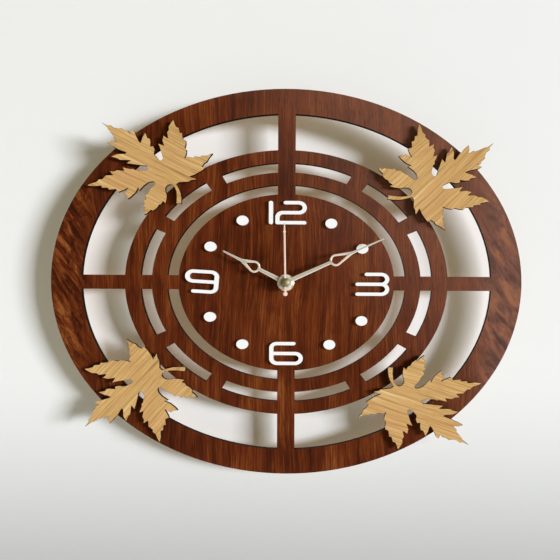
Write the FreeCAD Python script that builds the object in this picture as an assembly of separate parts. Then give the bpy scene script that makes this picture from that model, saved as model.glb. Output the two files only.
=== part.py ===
import FreeCAD, Part
import math
import os

# Analogue wall clock: a laser-cut wooden dial with four raised maple leaves, white acrylic
# hour marks, three hands and a battery quartz movement behind it.
# Millimetres. +Z is up and the dial faces -Y. The wall is the plane y = 0. The origin lies on
# the axis of the hands, where the back of the movement rests on the wall.

# ---- driving dimensions -------------------------------------------------------------------
PLATE_RADIUS = 150.0        # half the height of the dial
OVAL = 1.2235               # width over height of everything cut flat; 1.0 gives a round clock
PLATE_THICK = 4.0           # laminated MDF
ACRYLIC_THICK = 2.5
LEAF_THICK = 3.0
PAD_THICK = 2.0             # foam tape that lifts the leaves off the dial

CASE_SIZE = 56.0            # standard small quartz movement
CASE_DEPTH = 16.0
CASE_WALL = 1.2
RUBBER_THICK = 1.0
RUN = 0.05                  # radial clearance of a running fit

# ---- depths, measured from the wall towards the room ---------------------------------------
PLATE_BACK = CASE_DEPTH + RUBBER_THICK
PLATE_FRONT = PLATE_BACK + PLATE_THICK
WASHER_FRONT = PLATE_FRONT + 0.5
NUT_FRONT = WASHER_FRONT + 2.5
BUSH_END = NUT_FRONT + 0.6
HOUR_SHEET = (BUSH_END + 2.9, BUSH_END + 3.4)
HOUR_PIPE_END = HOUR_SHEET[1] + 0.2
MINUTE_SHEET = (HOUR_SHEET[1] + 1.9, HOUR_SHEET[1] + 2.4)
MINUTE_TUBE_END = MINUTE_SHEET[1] + 0.2
SECOND_SHEET = (MINUTE_SHEET[1] + 1.2, MINUTE_SHEET[1] + 1.6)

parts = {}


# ---- helpers ------------------------------------------------------------------------------
def vec(x, z, depth=0.0):
    """A point given as seen from the front, and how far it stands off the wall."""
    return FreeCAD.Vector(x, -depth, z)


def turned(x, z, degrees):
    """A front-view point turned clockwise about the origin."""
    a = math.radians(degrees)
    return x * math.cos(a) + z * math.sin(a), z * math.cos(a) - x * math.sin(a)


def polygon(points):
    return Part.makePolygon([vec(x, z) for x, z in points] + [vec(*points[0])])


def circle(radius, x=0.0, z=0.0):
    return Part.Wire(Part.makeCircle(radius, vec(x, z), FreeCAD.Vector(0, -1, 0)))


def stretched(wire):
    """The flat outline widened by the dial's oval ratio."""
    matrix = FreeCAD.Matrix()
    matrix.A11 = OVAL
    return wire.transformGeometry(matrix)


def slab(wires, back, front):
    """An outline (and its holes) given thickness between two depths."""
    wires = wires if isinstance(wires, list) else [wires]
    shape = Part.Face(wires[0])
    for hole in wires[1:]:
        shape = shape.cut(Part.Face(hole))
    shape.translate(FreeCAD.Vector(0, -back, 0))
    return shape.extrude(FreeCAD.Vector(0, back - front, 0))


def disc(radius, back, front, x=0.0, z=0.0, bore=0.0):
    """A round piece along the depth, with an optional bore."""
    solid = Part.makeCylinder(radius, front - back, vec(x, z, back), FreeCAD.Vector(0, -1, 0))
    if bore:
        solid = solid.cut(
            Part.makeCylinder(bore, front - back + 2, vec(x, z, back - 1), FreeCAD.Vector(0, -1, 0))
        )
    return solid


def block(x0, x1, z0, z1, back, front):
    return Part.makeBox(x1 - x0, front - back, z1 - z0, FreeCAD.Vector(x0, -front, z0))


def rounded_block(x0, x1, z0, z1, back, front, radius):
    solid = block(x0, x1, z0, z1, back, front)
    corners = [e for e in solid.Edges if abs(e.Vertexes[0].Y - e.Vertexes[1].Y) > 1e-6]
    return solid.makeFillet(radius, corners)


def ellipse_slab(radius, back, front):
    """A full-size oval of the dial: radius is its half height."""
    curve = Part.Ellipse(vec(radius * OVAL, 0), vec(0, radius), vec(0, 0))
    return slab(Part.Wire(curve.toShape()), back, front)


def joined(solids):
    shape = solids[0]
    for other in solids[1:]:
        shape = shape.fuse(other)
    return shape.removeSplitter()


# ---- dial plate: one piece of veneered MDF with laser-cut openings --------------------------
DISC_R = 68.8               # centre disc that carries the hour marks
SLOT_RING_IN = 75.9         # from here outwards the middle ring starts
DASH_IN = 85.7
DASH_OUT = 92.9
MIDDLE_R = 102.9
RIM_IN = 130.6
SPOKE_HALF = 5.5
DASH_BRIDGE_HALF = 3.6      # half angle of the solid bridges between the dashed slots, degrees


def ring(inner, outer, back, front):
    return ellipse_slab(outer, back, front).cut(ellipse_slab(inner, back - 1, front + 1))


def wedge(start, end, reach, back, front):
    """A sector between two clock angles, in the dial's oval measure."""
    rim = [turned(0, reach, start + (end - start) * i / 4) for i in range(5)]
    return slab(stretched(polygon([(0.0, 0.0)] + rim)), back, front)


plate = ellipse_slab(PLATE_RADIUS, PLATE_BACK, PLATE_FRONT)
spokes = [
    block(-SPOKE_HALF * OVAL, SPOKE_HALF * OVAL, -200, 200, PLATE_BACK - 2, PLATE_FRONT + 2),
    block(-250, 250, -SPOKE_HALF, SPOKE_HALF, PLATE_BACK - 2, PLATE_FRONT + 2),
]
openings = [
    ring(DISC_R, SLOT_RING_IN, PLATE_BACK - 1, PLATE_FRONT + 1),
    ring(MIDDLE_R, RIM_IN, PLATE_BACK - 1, PLATE_FRONT + 1),
]
dash_ring = ring(DASH_IN, DASH_OUT, PLATE_BACK - 1, PLATE_FRONT + 1)
for hour in range(12):
    if hour % 3:
        bridge = wedge(
            hour * 30 - DASH_BRIDGE_HALF, hour * 30 + DASH_BRIDGE_HALF, 140,
            PLATE_BACK - 2, PLATE_FRONT + 2,
        )
        dash_ring = dash_ring.cut(bridge)
for opening in openings + [dash_ring]:
    plate = plate.cut(opening.cut(spokes[0]).cut(spokes[1]))
parts["dial_plate"] = plate.cut(disc(4.15, PLATE_BACK - 1, PLATE_FRONT + 1))

# ---- maple leaves: one outline cut four times from oak-veneered board ------------------------
# Points go round the leaf from its main tip, clockwise, measured from the top of the stem.
LEAF_MAIN_TIP = [
    (-45, 47), (-41, 44.7), (-39.5, 45.2), (-37, 43), (-34, 42.4), (-32.4, 42.8), (-29.5, 40.5),
    (-28.4, 40.8), (-27, 38.3), (-25.6, 41.4), (-24, 39.8), (-22.8, 36), (-21.4, 32.6),
    (-20.4, 31.2),
]
LEAF_UPPER_LOBELET = [
    (-19.6, 33), (-19.2, 35), (-17.2, 39.3), (-16.2, 36.6), (-15.8, 35), (-14.2, 34.3),
    (-13.8, 32), (-14, 28.4), (-12.2, 28.8), (-11.2, 26), (-11.8, 22.6),
]
LEAF_UPPER_SINUS = [(-10.4, 20.4), (-8.8, 18), (-7.2, 17.5), (-6, 18.8), (-6.5, 21.5), (-8, 28)]
LEAF_SECOND_LOBE = [
    (-9.2, 30.8), (-5.2, 29), (-6.3, 33.2), (-5.5, 37.1), (-3.6, 35.2), (-2.6, 34.8), (-3.3, 39.5),
    (-2.2, 41), (-2.2, 44), (-0.6, 47), (1, 49.2), (1.6, 46.4), (2.6, 43.7), (4.2, 43), (5, 39),
    (6.4, 39), (6.8, 34.2), (8.6, 33.2), (8.8, 30.4), (8, 27.2), (9.2, 25.8), (8.9, 22.6),
    (7.8, 19.4),
]
LEAF_THIRD_LOBE = [
    (9.8, 20.6), (13.4, 19.7), (14.4, 21), (17.4, 20.2), (19, 21.4), (21.6, 21.3), (26, 23.2),
    (23.6, 19.8), (22, 16.5), (20.2, 15.2), (18.9, 12.9), (20.6, 11.2), (18, 9), (14.4, 6.6),
    (10.8, 4.9), (15.7, 2.9), (11.6, 2), (10.6, 1), (4, 0.5),
]
LEAF_STEM = [
    (2.4, -1), (4, -4.4), (5.2, -8.2), (5.6, -12), (5.5, -16.2), (2.3, -16), (2.6, -11.5),
    (2.4, -6.6), (1.4, -3.5), (0, -1.5),
]
LEAF_FOURTH_LOBE = [
    (-1.6, -1), (-3.4, -1.8), (-4.6, -3.8), (-4.6, -6.2), (-3.7, -9.4), (-4, -12.8), (-4.6, -16),
    (-6.2, -14.2), (-7.6, -16.8), (-8.8, -17), (-10.2, -19.6), (-12.6, -21.6), (-14, -21),
    (-16, -23.2), (-18.4, -25), (-17.8, -21.8), (-18.9, -20.4), (-17.9, -19.2), (-19, -17.4),
    (-17.9, -16.2), (-18.9, -14), (-17.1, -12.6), (-17.9, -10), (-16, -8.2), (-14.4, -4.6),
    (-12.2, -2.2), (-11.2, -0.4),
]
LEAF_LOWER_SINUS = [(-11.6, 0.8), (-13, 1.2), (-15.6, 0.4), (-18.4, -2)]
LEAF_LOWER_LOBELET = [
    (-21.4, -6), (-22, -3.6), (-23.8, -7.4), (-27, -11), (-29, -12.6), (-29.4, -9.4), (-30.8, -8.4),
    (-28.6, -3.9),
]
LEAF_FIFTH_LOBE = [
    (-31.4, -5.6), (-35, -7.2), (-36.3, -4.8), (-40.8, -5.4), (-41.6, -3.8), (-45.2, -3.8),
    (-45.8, -2.2), (-50.4, -2.6), (-55, -2), (-52.4, -0.4), (-48.6, 1), (-47, 3), (-45, 3),
    (-42.6, 6), (-38, 6.2), (-40.4, 9.2), (-37.4, 9), (-35, 10.2), (-30.8, 9.6), (-32, 12.3),
    (-26.6, 10.8), (-25.2, 11.2), (-23.6, 10.2),
]
LEAF_LEFT_SINUS = [(-18.4, 9.6), (-15.8, 10.8), (-15.2, 12), (-16.4, 13.3), (-23, 14.2)]
LEAF_LEFT_LOBELETS = [
    (-29.4, 15.3), (-26.7, 17.6), (-33.6, 17.9), (-35.2, 19.1), (-39.4, 20.5), (-35.2, 22.5),
    (-30, 22.8), (-29.4, 23.8), (-34.4, 26.1), (-36.6, 27.9), (-39, 29.1), (-41.8, 31.2),
    (-38.4, 32.1), (-35.2, 31.7), (-37.6, 34.7), (-37.2, 36.2), (-40.6, 41.4), (-41.3, 43.2),
]
LEAF = (
    LEAF_MAIN_TIP + LEAF_UPPER_LOBELET + LEAF_UPPER_SINUS + LEAF_SECOND_LOBE + LEAF_THIRD_LOBE
    + LEAF_STEM + LEAF_FOURTH_LOBE + LEAF_LOWER_SINUS + LEAF_LOWER_LOBELET + LEAF_FIFTH_LOBE
    + LEAF_LEFT_SINUS + LEAF_LEFT_LOBELETS
)
LEAF_BACK = PLATE_FRONT + PAD_THICK
LEAF_FRONT = LEAF_BACK + LEAF_THICK

# Each leaf: where the top of its stem sits on the dial, and its clockwise turn. They are glued
# by hand, so none of them sits exactly a quarter turn from the next.
LEAF_UNIT = 0.98            # one unit of the leaf's outline
LEAF_PLACES = {
    "top_left": (-71.3, 76.0, -0.4),
    "top_right": (80.0, 68.4, 95.3),
    "bottom_left": (-79.2, -70.5, -87.6),
    "bottom_right": (70.8, -80.6, 177.9),
}
# Foam pads hold each leaf: a large one on the rim and a small one on the middle ring.
RIM_PAD = 6.0
RING_PAD = 1.8
PAD_SPOTS = {
    "top_left": [(-94.0, 100.0, RIM_PAD), (-77.2, 64.7, RING_PAD)],
    "top_right": [(106.0, 87.5, RIM_PAD), (81.7, 59.2, RING_PAD)],
    "bottom_left": [(-104.0, -90.2, RIM_PAD), (-82.0, -59.2, RING_PAD)],
    "bottom_right": [(93.0, -102.4, RIM_PAD), (66.4, -68.0, RING_PAD)],
}


def placed(points, x, z, turn):
    """Outline points turned and moved to their place on the dial."""
    spun = [turned(px * LEAF_UNIT, pz * LEAF_UNIT, turn) for px, pz in points]
    return [(px + x, pz + z) for px, pz in spun]


pads = []
for corner, (x, z, turn) in LEAF_PLACES.items():
    outline = stretched(polygon(placed(LEAF, x, z, turn)))
    parts["maple_leaf_" + corner] = slab(outline, LEAF_BACK, LEAF_FRONT)
    for pad_x, pad_z, radius in PAD_SPOTS[corner]:
        pads.append(disc(radius, PLATE_FRONT, LEAF_BACK, pad_x * OVAL, pad_z))
parts["leaf_mounting_pads"] = Part.Compound(pads)

# ---- hour marks: white acrylic numerals and dots glued to the centre disc --------------------
STROKE = 2.6                # width of a numeral's stroke
BAR_RISE = 7.7              # from the middle bar of a numeral to its top or bottom bar
BEND = BAR_RISE / 2
MARK_RING = 55.0            # radius on which the marks stand
DOT_RADIUS = 3.75
ACRYLIC_FRONT = PLATE_FRONT + ACRYLIC_THICK


def line(a, b):
    return Part.makeLine(vec(*a), vec(*b))


def arc(a, middle, b):
    return Part.Arc(vec(*a), vec(*middle), vec(*b)).toShape()


def quarter(a, b, centre):
    """A quarter bend from a to b about its centre."""
    radius = math.hypot(a[0] - centre[0], a[1] - centre[1])
    mx = (a[0] + b[0]) / 2 - centre[0]
    mz = (a[1] + b[1]) / 2 - centre[1]
    reach = radius / math.hypot(mx, mz)
    return arc(a, (centre[0] + mx * reach, centre[1] + mz * reach), b)


def bend(x, z_from, z_to, side):
    """A half-round bend at the end of two bars, bulging to the given side."""
    reach = abs(z_from - z_to) / 2
    return arc((x, z_from), (x + side * reach, (z_from + z_to) / 2), (x, z_to))


def upright(height):
    """The outline of a straight upright stroke with round ends."""
    half = STROKE / 2
    end = height / 2
    return Part.Wire([
        line((half, -end), (half, end)), arc((half, end), (0.0, end + half), (-half, end)),
        line((-half, end), (-half, -end)), arc((-half, -end), (0.0, -end - half), (half, -end)),
    ])


def stroked(edges, x, z, turn):
    """A bar of constant width along a path, with round ends, placed on the dial."""
    path = Part.Wire(edges)
    outlines = [path.makeOffset2D(STROKE / 2, 0, False, False, False)]
    if path.isClosed():
        outlines.append(path.makeOffset2D(-STROKE / 2, 0, False, False, False))
    for outline in outlines:
        outline.rotate(vec(0, 0), FreeCAD.Vector(0, 1, 0), turn)
        outline.translate(vec(x, z))
    wires = [wire for outline in outlines for wire in outline.Wires]
    wires.sort(key=lambda w: -w.BoundBox.DiagonalLength)
    return slab([stretched(w) for w in wires], PLATE_FRONT, ACRYLIC_FRONT)


def six(x, z, turn):
    """The numeral 6: a closed lower loop and a tail that runs up the left and along the top."""
    loop = [
        line((-5.6, -BAR_RISE), (5.6, -BAR_RISE)),
        bend(5.6, -BAR_RISE, 0.0, 1),
        line((5.6, 0.0), (-9.3, 0.0)),
        line((-9.3, 0.0), (-9.3, -BAR_RISE + 3.7)),
        quarter((-9.3, -BAR_RISE + 3.7), (-5.6, -BAR_RISE), (-5.6, -BAR_RISE + 3.7)),
    ]
    tail = [
        line((-9.3, 0.0), (-9.3, BAR_RISE - 3.4)),
        quarter((-9.3, BAR_RISE - 3.4), (-5.9, BAR_RISE), (-5.9, BAR_RISE - 3.4)),
        line((-5.9, BAR_RISE), (4.8, BAR_RISE)),
    ]
    return joined([stroked(loop, x, z, turn), stroked(tail, x, z, turn)])


one_outline = upright(2 * BAR_RISE)
one_outline.translate(vec(-9.7, MARK_RING - 0.8))
one = slab(stretched(one_outline), PLATE_FRONT, ACRYLIC_FRONT)
two = stroked(
    [
        line((-3.4, BAR_RISE), (4.8, BAR_RISE)),
        bend(4.8, BAR_RISE, 0.0, 1),
        line((4.8, 0.0), (-5.2, 0.0)),
        quarter((-5.2, 0.0), (-8.6, -3.4), (-5.2, -3.4)),
        line((-8.6, -3.4), (-8.6, -BAR_RISE)),
        line((-8.6, -BAR_RISE), (8.4, -BAR_RISE)),
    ],
    3.0, MARK_RING - 0.8, 0,
)
parts["numeral_twelve"] = Part.Compound([one, two])
parts["numeral_three"] = joined(
    [
        stroked([line((-3.7, BAR_RISE), (5.5, BAR_RISE)), bend(5.5, BAR_RISE, 0.0, 1),
                 line((5.5, 0.0), (-9.5, 0.0))], MARK_RING - 0.2, -0.8, 0),
        stroked([line((-9.5, -BAR_RISE), (5.5, -BAR_RISE)), bend(5.5, -BAR_RISE, 0.0, 1)],
                MARK_RING - 0.2, -0.8, 0),
    ]
)
parts["numeral_six"] = six(0.1, -MARK_RING, 0)
parts["numeral_nine"] = six(-53.5, 0.6, 184.0)

# The dots are glued by hand. These hours sit a little off their place, by x and z.
DOT_DRIFT = {1: (0.8, -2.0), 2: (0.3, -1.1), 4: (0.0, -1.6), 8: (-0.3, 0.9)}
dots = []
for hour in range(12):
    if hour % 3:
        x, z = turned(0.0, MARK_RING + 0.4, hour * 30)
        drift_x, drift_z = DOT_DRIFT.get(hour, (0.0, 0.0))
        dot = circle(DOT_RADIUS, x + drift_x, z + drift_z)
        dots.append(slab(stretched(dot), PLATE_FRONT, ACRYLIC_FRONT))
parts["hour_dots"] = Part.Compound(dots)

# ---- gear train: where the arbors stand and how the wheels mesh -----------------------------
# The rotor turns half a turn each second. It drives the intermediate wheel, the seconds wheel
# (30 to 1), the third wheel and the centre wheel (60 to 1). The motion wheel brings the minute
# arbor down to the hour wheel (12 to 1), and the setting knob turns it by hand.
TEETH = {
    "rotor_pinion": 8, "intermediate_wheel": 48, "intermediate_pinion": 8, "seconds_wheel": 40,
    "seconds_pinion": 8, "third_wheel": 60, "third_pinion": 8, "centre_wheel": 64,
    "cannon_pinion": 12, "motion_wheel": 36, "motion_pinion": 10, "hour_wheel": 40,
    "setting_pinion": 12,
}
CENTRE_MODULE = 0.27
THIRD_REACH = CENTRE_MODULE * (8 + 64) / 2
SECONDS_MODULE = THIRD_REACH * 2 / (8 + 60)
INTERMEDIATE_MODULE = 0.30
ROTOR_MODULE = 0.25
MOTION_MODULE = 0.36
MOTION_REACH = MOTION_MODULE * (12 + 36) / 2
HOUR_MODULE = MOTION_REACH * 2 / (10 + 40)


def polar(origin, reach, degrees):
    a = math.radians(degrees)
    return origin[0] + reach * math.cos(a), origin[1] + reach * math.sin(a)


MAIN = (0.0, 0.0)
THIRD = polar(MAIN, THIRD_REACH, 150)
INTERMEDIATE = polar(MAIN, INTERMEDIATE_MODULE * (8 + 40) / 2, -60)
ROTOR = polar(INTERMEDIATE, ROTOR_MODULE * (8 + 48) / 2, 0)
MOTION = polar(MAIN, MOTION_REACH, 60)
KNOB = polar(MOTION, MOTION_REACH, 20)


def gear(name, module, back, front, centre, phase, bore):
    """A thin-toothed clock wheel or pinion: straight-flanked teeth, one of them at the phase."""
    teeth = TEETH[name]
    pitch = module * teeth / 2
    step = 360.0 / teeth
    share = 0.17 if teeth > 20 else 0.155
    outline = []
    for i in range(teeth):
        middle = phase + i * step
        for radius, offset in (
            (pitch - 1.15 * module, -share - 0.07), (pitch + 0.25 * module, -share + 0.03),
            (pitch + 0.8 * module, -0.05), (pitch + 0.8 * module, 0.05),
            (pitch + 0.25 * module, share - 0.03), (pitch - 1.15 * module, share + 0.07),
        ):
            outline.append(polar(centre, radius, middle + offset * step))
    wires = [polygon(outline)]
    if bore:
        wires.append(circle(bore, *centre))
    return slab(wires, back, front)


def meshed(phase, name, centre, other, other_centre):
    """The phase that puts the other gear's teeth in the gaps of this one."""
    way = math.degrees(math.atan2(other_centre[1] - centre[1], other_centre[0] - centre[0]))
    own = ((way - phase) * TEETH[name] / 360.0) % 1.0
    return way + 180.0 - (0.5 - own) * 360.0 / TEETH[other]


# Depths of the wheel layers, counted from the wall.
HOUR_LAYER = (13.4, 14.2)
MOTION_LAYER = (12.1, 12.9)
CENTRE_LAYER = (10.7, 11.5)
THIRD_LAYER = (9.3, 10.1)
SECONDS_LAYER = (7.9, 8.7)
INTERMEDIATE_LAYER = (6.5, 7.3)
PLATE_LAYER = (3.1, 4.1)    # the rear bearing plate

ARBOR_R = 0.5               # seconds arbor
THIRD_ARBOR_R = 0.4
PIN_R = 0.4                 # fixed pins of the rotor and the intermediate wheel
TUBE_R = 1.6                # minute tube
PIPE_R = 2.5                # hour pipe
BUSH_R = 4.0                # threaded bush of the case
MOTION_POST_R = 0.7
KNOB_ARBOR_R = 1.0

# Seconds arbor with its wheel and pinion.
parts["seconds_wheel"] = joined(
    [
        gear("seconds_wheel", INTERMEDIATE_MODULE, *SECONDS_LAYER, MAIN, 0.0, ARBOR_R),
        gear("seconds_pinion", SECONDS_MODULE, SECONDS_LAYER[1], THIRD_LAYER[1] + 0.2, MAIN, 0.0,
             ARBOR_R),
    ]
)
parts["seconds_arbor"] = disc(ARBOR_R, PLATE_LAYER[0] + 0.1, SECOND_SHEET[1])

# Intermediate wheel with its pinion, running on a fixed pin.
phase_i = meshed(0.0, "seconds_wheel", MAIN, "intermediate_pinion", INTERMEDIATE)
parts["intermediate_wheel"] = joined(
    [
        gear("intermediate_wheel", ROTOR_MODULE, *INTERMEDIATE_LAYER, INTERMEDIATE, 0.0, PIN_R + RUN),
        gear("intermediate_pinion", INTERMEDIATE_MODULE, INTERMEDIATE_LAYER[1],
             SECONDS_LAYER[1] + 0.2, INTERMEDIATE, phase_i, PIN_R + RUN),
    ]
)

# Rotor: a disc magnet on a plastic pinion, running on a fixed pin.
MAGNET_R = 3.0
MAGNET_LAYER = (4.5, 5.9)
phase_r = meshed(0.0, "intermediate_wheel", INTERMEDIATE, "rotor_pinion", ROTOR)
parts["rotor_pinion"] = gear(
    "rotor_pinion", ROTOR_MODULE, MAGNET_LAYER[1], INTERMEDIATE_LAYER[1] + 0.2, ROTOR, phase_r,
    PIN_R + RUN,
)
parts["rotor_magnet"] = disc(MAGNET_R, *MAGNET_LAYER, *ROTOR, bore=PIN_R + RUN)
parts["train_pins"] = Part.Compound(
    [
        disc(PIN_R, PLATE_LAYER[0], SECONDS_LAYER[1] + 0.1, *INTERMEDIATE),
        disc(PIN_R, PLATE_LAYER[0], INTERMEDIATE_LAYER[1] + 0.1, *ROTOR),
    ]
)

# Third wheel and its pinion, pressed on a steel arbor that turns in both plates.
phase_t = meshed(0.0, "seconds_pinion", MAIN, "third_wheel", THIRD)
phase_c = 0.0
phase_tp = meshed(phase_c, "centre_wheel", MAIN, "third_pinion", THIRD)
parts["third_wheel"] = joined(
    [
        gear("third_wheel", SECONDS_MODULE, *THIRD_LAYER, THIRD, phase_t, THIRD_ARBOR_R),
        gear("third_pinion", CENTRE_MODULE, THIRD_LAYER[1], CENTRE_LAYER[1] + 0.2, THIRD, phase_tp,
             THIRD_ARBOR_R),
    ]
)
BOSS_FACE = MOTION_LAYER[0] + 0.3
parts["third_arbor"] = disc(THIRD_ARBOR_R, PLATE_LAYER[0] + 0.1, BOSS_FACE + 1.6, *THIRD)

# Centre wheel, and the minute tube that it grips: cannon pinion, tube and hand seat in one.
parts["centre_wheel"] = gear("centre_wheel", CENTRE_MODULE, *CENTRE_LAYER, MAIN, phase_c, TUBE_R)
parts["minute_arbor"] = joined(
    [
        disc(TUBE_R, CENTRE_LAYER[0], MINUTE_TUBE_END, bore=ARBOR_R + RUN),
        gear("cannon_pinion", MOTION_MODULE, CENTRE_LAYER[1], MOTION_LAYER[1] + 0.1, MAIN, 0.0,
             ARBOR_R + RUN),
    ]
)

# Motion wheel with its pinion, on a post moulded in the case.
phase_m = meshed(0.0, "cannon_pinion", MAIN, "motion_wheel", MOTION)
parts["motion_wheel"] = joined(
    [
        gear("motion_wheel", MOTION_MODULE, *MOTION_LAYER, MOTION, phase_m, MOTION_POST_R + RUN),
        gear("motion_pinion", HOUR_MODULE, MOTION_LAYER[1], HOUR_LAYER[1] + 0.1, MOTION, 0.0,
             MOTION_POST_R + RUN),
    ]
)

# Hour wheel with the hour pipe.
phase_h = meshed(0.0, "motion_pinion", MOTION, "hour_wheel", MAIN)
parts["hour_wheel"] = joined(
    [
        gear("hour_wheel", HOUR_MODULE, *HOUR_LAYER, MAIN, phase_h, TUBE_R + RUN),
        disc(PIPE_R, HOUR_LAYER[0], HOUR_PIPE_END, bore=TUBE_R + RUN),
    ]
)

# Setting knob at the back, with an arbor that ends in the setting pinion.
KNOB_R = 5.5
KNOB_DEPTHS = (0.5, 2.4)
phase_k = meshed(phase_m, "motion_wheel", MOTION, "setting_pinion", KNOB)
ribs = 20
grip = [
    polar(KNOB, KNOB_R - (0.5 if i % 2 else 0.0), i * 180.0 / ribs) for i in range(2 * ribs)
]
parts["setting_knob"] = slab(polygon(grip), *KNOB_DEPTHS)
parts["setting_arbor"] = joined(
    [
        disc(KNOB_ARBOR_R, KNOB_DEPTHS[1], MOTION_LAYER[1] + 0.6, *KNOB),
        gear("setting_pinion", MOTION_MODULE, *MOTION_LAYER, KNOB, phase_k, 0.0),
    ]
)

# ---- hands: stamped aluminium with a boss pressed on its arbor -------------------------------
HOUR_ANGLE = -63.4          # clockwise from twelve, as the clock stands at rest
MINUTE_ANGLE = 65.7
SECOND_ANGLE = -1.0


def teardrop(round_end, radius, apex):
    """A drop shape up the hand: a round end towards the hub and tangents to its apex."""
    centre = round_end + radius
    lean = math.acos(radius / (apex - centre))
    x = radius * math.sin(lean)
    z = centre + radius * math.cos(lean)
    return Part.Wire([
        arc((x, z), (0.0, round_end), (-x, z)), line((-x, z), (0.0, apex)), line((0.0, apex), (x, z)),
    ])


def hand(sheet, boss_back, boss_r, hub_r, bore, drop_start, drop_r, apex, length, root, tip):
    """A skeleton hand pointing at twelve: hub disc, shaft, open teardrop, needle and boss."""
    rim = 1.6
    shaft = polygon([(-root, 0.0), (root, 0.0), (root * 0.72, drop_start + 0.8),
                     (-root * 0.72, drop_start + 0.8)])
    needle = polygon([(-1.3, apex - 7.0), (1.3, apex - 7.0), (0.9, apex), (tip, length - 1.0),
                      (0.0, length), (-tip, length - 1.0), (-0.9, apex)])
    drop_hole = teardrop(drop_start + rim, drop_r - rim, apex - 4.6 * rim)
    shape = joined([
        slab(circle(hub_r), *sheet), slab(shaft, *sheet),
        slab(teardrop(drop_start, drop_r, apex), *sheet), slab(needle, *sheet),
        disc(boss_r, boss_back, sheet[1]),
    ])
    shape = shape.cut(slab(drop_hole, sheet[0] - 1, sheet[1] + 1))
    return shape.cut(disc(bore, boss_back - 1, sheet[1] + 1))


def aimed(shape, degrees):
    shape.rotate(vec(0, 0), FreeCAD.Vector(0, 1, 0), degrees)
    return shape


HOUR_HUB_R = 6.4
MINUTE_HUB_R = 5.4
parts["hour_hand"] = aimed(
    hand(HOUR_SHEET, BUSH_END + 1.0, 3.6, HOUR_HUB_R, PIPE_R, 22.4, 4.6, 41.5, 54.0, 1.8, 0.6),
    HOUR_ANGLE,
)
parts["minute_hand"] = aimed(
    hand(MINUTE_SHEET, HOUR_PIPE_END + 0.4, 3.0, MINUTE_HUB_R, TUBE_R, 37.5, 4.6, 59.5, 83.0, 1.7,
         0.45),
    MINUTE_ANGLE,
)

# Second hand: a thin strip with a small lozenge near its tip and a round counterweight, on a
# short tube under a domed cap.
SECOND_LENGTH = 45.0
SECOND_TAIL = 8.6
SECOND_HALF = 0.75
CAP_R = 3.4
CAP_RISE = 1.5
lozenge_z = SECOND_LENGTH - 6.5
strip = polygon([(-SECOND_HALF, -SECOND_TAIL), (SECOND_HALF, -SECOND_TAIL),
                 (SECOND_HALF, lozenge_z), (0.45, SECOND_LENGTH), (-0.45, SECOND_LENGTH),
                 (-SECOND_HALF, lozenge_z)])
lozenge = polygon([(0.0, lozenge_z - 1.8), (1.0, lozenge_z), (0.0, lozenge_z + 1.8),
                   (-1.0, lozenge_z)])
ball_r = (CAP_R**2 + CAP_RISE**2) / (2 * CAP_RISE)
dome = Part.makeSphere(ball_r, vec(0, 0, SECOND_SHEET[1] + CAP_RISE - ball_r)).common(
    disc(CAP_R, SECOND_SHEET[1], SECOND_SHEET[1] + CAP_RISE + 1)
)
second = joined([
    slab(strip, *SECOND_SHEET), slab(lozenge, *SECOND_SHEET),
    slab(circle(1.7, 0.0, -SECOND_TAIL), *SECOND_SHEET), disc(CAP_R, *SECOND_SHEET),
    disc(1.4, MINUTE_TUBE_END + 0.4, SECOND_SHEET[1]), dome,
])
second = second.cut(disc(ARBOR_R, MINUTE_TUBE_END, SECOND_SHEET[1]))
parts["second_hand"] = aimed(second, SECOND_ANGLE)

# ---- movement: moulded case with its threaded bush, cover, bearing plate --------------------
CASE_TOP = 25.0
CASE_BOTTOM = CASE_TOP - CASE_SIZE
CASE_HALF = CASE_SIZE / 2
INNER = CASE_HALF - CASE_WALL
FRONT_WALL = CASE_DEPTH - CASE_WALL
COVER_THICK = 1.2
BAY_TOP = -14.7             # top wall of the battery bay
SCREWS = [(-23.6, 21.6), (23.6, 21.6), (-23.6, -10.4)]
SCREW_R = 0.9
BOSS_R = 2.0

case = rounded_block(-CASE_HALF, CASE_HALF, CASE_BOTTOM, CASE_TOP, COVER_THICK, CASE_DEPTH, 4.0)
case = case.cut(block(-INNER, INNER, BAY_TOP + 1.2, CASE_TOP - CASE_WALL, 0.0, FRONT_WALL))
case = case.cut(block(-INNER, INNER, CASE_BOTTOM + CASE_WALL, BAY_TOP, 0.0, FRONT_WALL))
bosses = [disc(BOSS_R, PLATE_LAYER[1], FRONT_WALL, *spot) for spot in SCREWS]
corner_fill = joined(
    [block(min(x, math.copysign(INNER, x)), max(x, math.copysign(INNER, x)), z - 1.0, z + 1.0,
           PLATE_LAYER[1], FRONT_WALL) for x, z in SCREWS]
)
third_boss = disc(1.3, BOSS_FACE, FRONT_WALL, *THIRD, bore=THIRD_ARBOR_R + RUN)
post = disc(MOTION_POST_R, MOTION_LAYER[0] + 0.1, FRONT_WALL, *MOTION)
knob_bearing = disc(1.9, MOTION_LAYER[1] + 0.4, FRONT_WALL, *KNOB, bore=KNOB_ARBOR_R + RUN)
bush = disc(BUSH_R, FRONT_WALL, BUSH_END)
case = joined([case, corner_fill, third_boss, post, knob_bearing, bush] + bosses)
case = case.cut(disc(PIPE_R + RUN, FRONT_WALL - 1, BUSH_END + 1))
for x, z in SCREWS:
    case = case.cut(disc(SCREW_R, PLATE_LAYER[1] - 1, PLATE_LAYER[1] + 6.0, x, z))
parts["movement_case"] = case

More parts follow.
